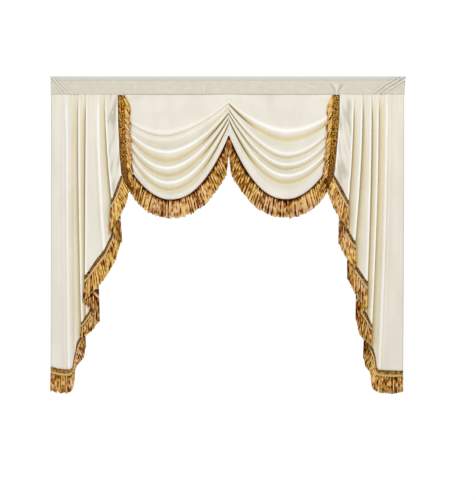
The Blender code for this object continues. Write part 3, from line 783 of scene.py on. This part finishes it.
def side_fringe(tail):
    """Return the top, foot and tips of the fringe down a tail's inner edge."""
    z = np.linspace(cloth_top - 0.001, tail.cuts[0] - side_tail, 80)
    x, depth = tail.at(0, z)
    past = np.clip((tail.cuts[0] + 0.004 - z) / (side_tail + 0.004), 0, 1)
    depth = depth + 0.0060 * past
    tip_z = z - side_drop * (1 - 0.45 * past)
    wave = 0.0045 * np.sin(z * 74) * (1 - past)
    foot_x = x - side_header * (1 + 0.06 * np.sin(z * 117))
    tip_x = x - side_header - side_reach + wave
    heads = depth_place(tail.sign, x - 0.0004 - side_header * 0.62 * past, depth, z)
    feet = depth_place(tail.sign, foot_x, depth, z - side_header * 0.1)
    tips = depth_place(tail.sign, tip_x, tail.at(0, tip_z)[1] + 0.004 * past, tip_z)
    # The last value is painted shade, growing lower down the tail's inner edge.
    return heads, feet, tips, np.clip((-0.30 - z) / 0.25, 0, 1)


def edge_fringe(tail, first, last):
    """Return the top, foot and tips of the fringe along part of a tail's cut edge."""
    span = slice(tail.marks[first], tail.marks[last] + 1)
    edge = np.array([[*tail.at(column, z), z] for column, z in enumerate(tail.cuts)])[span]
    ends = tail.tips.T[span]
    heads = depth_place(tail.sign, *edge.T)
    tips = depth_place(tail.sign, *ends.T)
    hang = tips - heads
    heads = heads + hang / np.linalg.norm(hang, axis=1)[:, None] * sewing_gap
    return heads, mix(heads, tips, edge_header_share), tips, tail.turned[span]


def weave_header(name, heads, feet, turned, material):
    """Weave a fringe's header between two lines, with a map of its length and width in metres."""
    rows = 4
    bm = bmesh.new()
    places = bm.loops.layers.uv.new("Weave")
    kept_turned = bm.verts.layers.float.new("turned")
    made = bmesh.ops.create_grid(bm, x_segments=len(heads) - 1, y_segments=rows, size=1.0)
    run = np.concatenate(([0], np.cumsum(np.linalg.norm(np.diff((heads + feet) / 2, axis=0), axis=1))))
    spots = {}
    for vert in made["verts"]:
        column = round((vert.co.x + 1) / 2 * (len(heads) - 1))
        share = (1 - vert.co.y) / 2
        spots[vert] = (run[column], share)
        # The fringe's painted shade is kept on the header too.
        vert[kept_turned] = turned[column]
        vert.co = mix(heads[column], feet[column], share)
    for face in bm.faces:
        for loop in face.loops:
            loop[places].uv = spots[loop.vert]
    return thickened(finished(name, bm, material, turned=False), header_thick)


def skirt_paths(heads, feet, tips, turned, lead, start, root_shade, tip_light):
    """Return the yarns of a fringe, drawn from its header to its tips and gathered into soft locks,
    with the tone and painted shade, share of the fall and strand of each. Heads, feet and tips are
    lines along it, and turned is the painted shade along it. lead says how far each yarn first goes
    on in the header's own plane before it falls, and start is the share of the header's width at which
    it is sewn on. root_shade is painted shade and light added to the tone at the first four stops,
    and tip_light a painted highlight at the tip."""
    hang = (np.linalg.norm(np.diff(heads, axis=0), axis=1) + np.linalg.norm(np.diff(tips, axis=0), axis=1)) / 2
    run = np.concatenate(([0], np.cumsum(hang)))
    normal = np.cross(np.gradient(heads, axis=0) + np.gradient(tips, axis=0), tips - heads)
    normal /= np.linalg.norm(normal, axis=1)[:, None] * np.where(normal[:, 1:2] > 0, -1, 1)

    def at(line, places):
        return np.stack([np.interp(places, run, line[:, axis]) for axis in range(3)], axis=-1)

    paths, tints, shares, strands = [], [], [], []
    count = max(4, round(run[-1] / yarn_pitch))
    locks = [0.0]
    while locks[-1] < run[-1]:
        locks.append(locks[-1] + chance.uniform(lock_narrow, lock_wide))
    looks = []
    for lock in range(len(locks)):
        tone = lock_tone * (-1) ** lock + chance.uniform(-0.26, 0.26)
        looks.append((tone, chance.uniform(-0.06, 0.03), chance.uniform(-1, 1)))
    for layer in range(yarn_layers):
        for index in range(count):
            s = (index + 0.5 + chance.uniform(-0.35, 0.35)) * run[-1] / count
            lock = max(0, int(np.searchsorted(locks, s)) - 1)
            lock_tint, lock_long, lock_way = looks[lock]
            centre = (locks[lock] + locks[lock + 1]) / 2
            fall_at = s + (centre - s) * 0.10 + lock_way * lock_shift
            fall_at = min(run[-1], max(0.0, fall_at))
            root = at(feet, s)
            head = at(heads, s)
            out = at(normal, s)
            tip = at(tips, fall_at)
            side = (layer - (yarn_layers - 1) / 2)
            knee = (root - head) * lead
            root = mix(head, root, start) + out * (side * 0.0009 + 0.0020 * (start < 0.5))
            longer = 1 + lock_long + chance.uniform(-0.035, 0.03)
            tip = root + (tip - root) * longer + out * (side * 0.0022 + chance.uniform(-0.002, 0.002))
            knee += mix(root, tip, 0.5)
            t = yarn_stops[:, None]
            path = (1 - t) ** 2 * root + 2 * t * (1 - t) * knee + t ** 2 * tip
            sway = at(tips, min(run[-1], fall_at + 0.004)) - at(tips, max(0.0, fall_at - 0.004))
            sway = sway / (np.linalg.norm(sway) + 1e-9)
            path = path + sway * 0.0009 * np.sin(t * math.pi * chance.uniform(1.5, 3.2)) * chance.uniform(-1, 1)
            paths.append(path)
            t = t.ravel()
            # A random tone for the yarn and its lock, less painted shade where the fringe is turned under or
            # shaded, with painted shade at the root and a painted highlight at the tip.
            tint = 0.5 + lock_tint + chance.uniform(-0.24, 0.24) - 0.36 * np.interp(s, run, turned)
            shaded_root = np.interp(t, yarn_stops[:4], root_shade)
            tints.append(np.clip(tint, 0, 1) + shaded_root + tip_light * (t > 0.94))
            shares.append(t)
            strands.append(lock + 0.2 * chance.random())
    return np.array(paths), np.array(tints), np.array(shares), np.array(strands)


def gold_yarn():
    yarn = Finish("gold_yarn", 0.6, gloss=0.0)
    tint = yarn.painted("tint")
    fall = yarn.painted("fall")
    twist = yarn.grain(yarn.stretched(yarn.places(), 1, 1, 0.6), 900, 1)
    along = yarn.node("ShaderNodeCombineXYZ", {}, {"X": yarn.painted("strand") * 2.7, "Y": fall * 3})
    streak = yarn.grain(along, 1.0, 1).stepped(0.32, 0.68)
    warmth = yarn.grain(yarn.places(), 4, 1).stepped(0.35, 0.65)
    patch = yarn.grain(yarn.places(), 24, 1).stepped(0.3, 0.7)
    height = yarn.node("ShaderNodeSeparateXYZ", {}, {"Vector": yarn.places()}, "Z")
    low = (0 - height).stepped(0.9, 1.4)
    # The yarn's kept tone and painted shade, with random streaks and patches, and a little darker low down.
    shade = tint * 0.70 + streak * 0.60 + patch * 0.20 - low * 0.10 - 0.22
    light = yarn.blend(warmth, dye(255, 220, 134), dye(255, 222, 168))
    plain = yarn.blend(warmth, dye(196, 138, 58), dye(202, 138, 76))
    colour = yarn.blend(shade.stepped(0.02, 0.26), dye(60, 14, 0), dye(134, 76, 14))
    colour = yarn.blend(shade.stepped(0.20, 0.46), colour, plain)
    colour = yarn.blend(shade.stepped(0.42, 0.76), colour, light)
    colour = yarn.blend(twist.stepped(0.35, 0.65) * -0.20 + 0.20, colour, dye(112, 58, 20))
    yarn.coloured(colour)
    yarn.raised(twist, 0.0004, 0.8)
    return yarn.material


def gold_header(name, dark, light, line=None):
    braid = Finish(name, 0.6, gloss=0.0)
    places = braid.places("UV")
    along = braid.node("ShaderNodeSeparateXYZ", {}, {"Vector": places}, "X")
    across = braid.node("ShaderNodeSeparateXYZ", {}, {"Vector": places}, "Y")
    weft = ((along * 2 * math.pi / 0.0078) + (across * 9).sine() * 1.4).sine() * 0.5 + 0.5
    rib = (across * 2 * math.pi * 3 + 0.6).sine() * 0.5 + 0.5
    fleck = braid.grain(braid.places(), 150, 2)
    height = weft * 0.26 + rib * 0.14 + fleck.stepped(0.36, 0.64) * 0.60
    colour = braid.blend(height.stepped(0.26, 0.74), dye(*dark), dye(*light))
    edge = (1 - across * (1 - across) * 4).stepped(0.55, 1.0)
    colour = braid.blend(edge * 0.9, colour, dye(56, 20, 2))
    # Painted shade from the value kept on the mesh: on turned-under backs, near the ends of each swag's fringe
    # and low on the tails' inner edges.
    colour = braid.blend(braid.painted("turned") * 0.65, colour, dye(92, 44, 20))
    if line:
        colour = braid.blend(across.stepped(0.52, 0.66) * 0.7, colour, dye(*line))
    braid.coloured(colour)
    braid.raised(height, 0.0016, 1.0)
    return braid.material


gold_yarn_finish = gold_yarn()
header_finishes = {
    # The swag's header lies under the rolled lowest drape, so it is coloured darker as painted shade.
    "swag": gold_header("swag_header", (60, 24, 8), (132, 78, 34)),
    "side": gold_header("side_header", (60, 22, 0), (204, 152, 66)),
    "cascade": gold_header("cascade_header", (58, 28, 4), (166, 118, 58), line=(246, 214, 168)),
    "hem": gold_header("hem_header", (84, 48, 8), (190, 144, 74), line=(232, 196, 128)),
}
fringes = {}
for side, tail in tails.items():
    corner = {"left": 15, "right": 18}[side]
    # Offsets to each yarn's tone over its first four stops, as painted shade at the root easing to a slight
    # lightening further down; the last number of each entry below is a painted highlight at the tips.
    swag_root = (-1.0, -0.55, 0.04, -0.01)
    plain_root = (-0.30, -0.10, 0.00, 0.02) if side == "left" else (-0.30, -0.08, 0.04, 0.06)
    hem_root = (-0.2, 0.0, 0.10, 0.12) if side == "left" else (-0.2, -0.1, 0.0, 0.03)
    fringes["swag_fringe_" + side] = (*swag_fringe(side), 0.0, 0.25, swag_root, 0.2)
    fringes["side_fringe_" + side] = (*side_fringe(tail), 0.45, 0.92, (-0.6, 0.1, 0.2, 0.1), 0.0)
    fringes["cascade_fringe_" + side] = (*edge_fringe(tail, 0, corner), 0.0, 0.92, plain_root, 0.15)
    fringes["hem_fringe_" + side] = (*edge_fringe(tail, corner, len(tail_folds[side]) - 1), 0.0, 0.92,
                                     hem_root, 0.1)
for node, (heads, feet, tips, turned, lead, start, root_shade, tip_light) in fringes.items():
    header_finish = header_finishes[node.partition("_fringe")[0]]
    sewn_on(weave_header(node + "_header", heads, feet, turned, header_finish), "gold_fringe", node)
    paths, tints, shares, strands = skirt_paths(heads, feet, tips, turned, lead, start, root_shade, tip_light)
    radii = yarn_radius * (1.1 - 0.1 * shares)
    sewn_on(yarns(node + "_yarns", paths, radii, gold_yarn_finish, tint=tints, fall=shares, strand=strands),
            "gold_fringe")

# The studio is a pale floor under the hanging valance and soft white light from all round, with the
# camera level and far in front, as the product was photographed.
def studio_light(name, place, target, size, watts, colour=(1.0, 1.0, 1.0)):
    lamp = bpy.data.lights.new(name, "AREA")
    lamp.shape = "RECTANGLE"
    lamp.size, lamp.size_y = size
    lamp.energy = watts
    lamp.color = colour
    light = bpy.data.objects.new(name, lamp)
    light.location = place
    light.rotation_euler = (Vector(target) - Vector(place)).to_track_quat("-Z", "Y").to_euler()
    bpy.context.scene.collection.objects.link(light)


bm = bmesh.new()
bmesh.ops.create_grid(bm, x_segments=1, y_segments=1, size=9.0)
bmesh.ops.translate(bm, verts=bm.verts, vec=(0, 0, -3.72))
floor_paint = Finish("floor_paint", 0.9)
floor_paint.coloured(dye(250, 250, 250))
floor_paint.surface.inputs["Emission Color"].default_value = (1, 1, 1, 1)
floor_paint.surface.inputs["Emission Strength"].default_value = 0.45
finished("floor", bm, floor_paint.material)

studio_light("key", (1.0, -5.0, 3.3), (0, 0, -0.7), (1.6, 1.0), 200)
studio_light("low_fill", (-2.2, -5.2, -1.6), (0, 0, -1.1), (1.8, 1.8), 50)

world = bpy.data.worlds.new("studio_white")
world.use_nodes = True
surround = world.node_tree.nodes["Background"]
surround.inputs["Color"].default_value = (1, 1, 1, 1)
seen = world.node_tree.nodes.new("ShaderNodeLightPath")
bright = world.node_tree.nodes.new("ShaderNodeMapRange")
bright.inputs["To Min"].default_value = 0.31
bright.inputs["To Max"].default_value = 1.05
world.node_tree.links.new(seen.outputs["Is Camera Ray"], bright.inputs["Value"])
world.node_tree.links.new(bright.outputs["Result"], surround.inputs["Strength"])
bpy.context.scene.world = world
bpy.context.scene.view_settings.view_transform = "Standard"

camera = bpy.data.cameras.new("camera")
camera.lens = 36 * 10.0 / 2.809
camera.sensor_width = 36
camera.clip_end = 100
viewpoint = bpy.data.objects.new("camera", camera)
viewpoint.location = (0.0562, -10.0, -0.975)
viewpoint.rotation_euler = (math.radians(90), 0, 0)
bpy.context.scene.collection.objects.link(viewpoint)
bpy.context.scene.camera = viewpoint
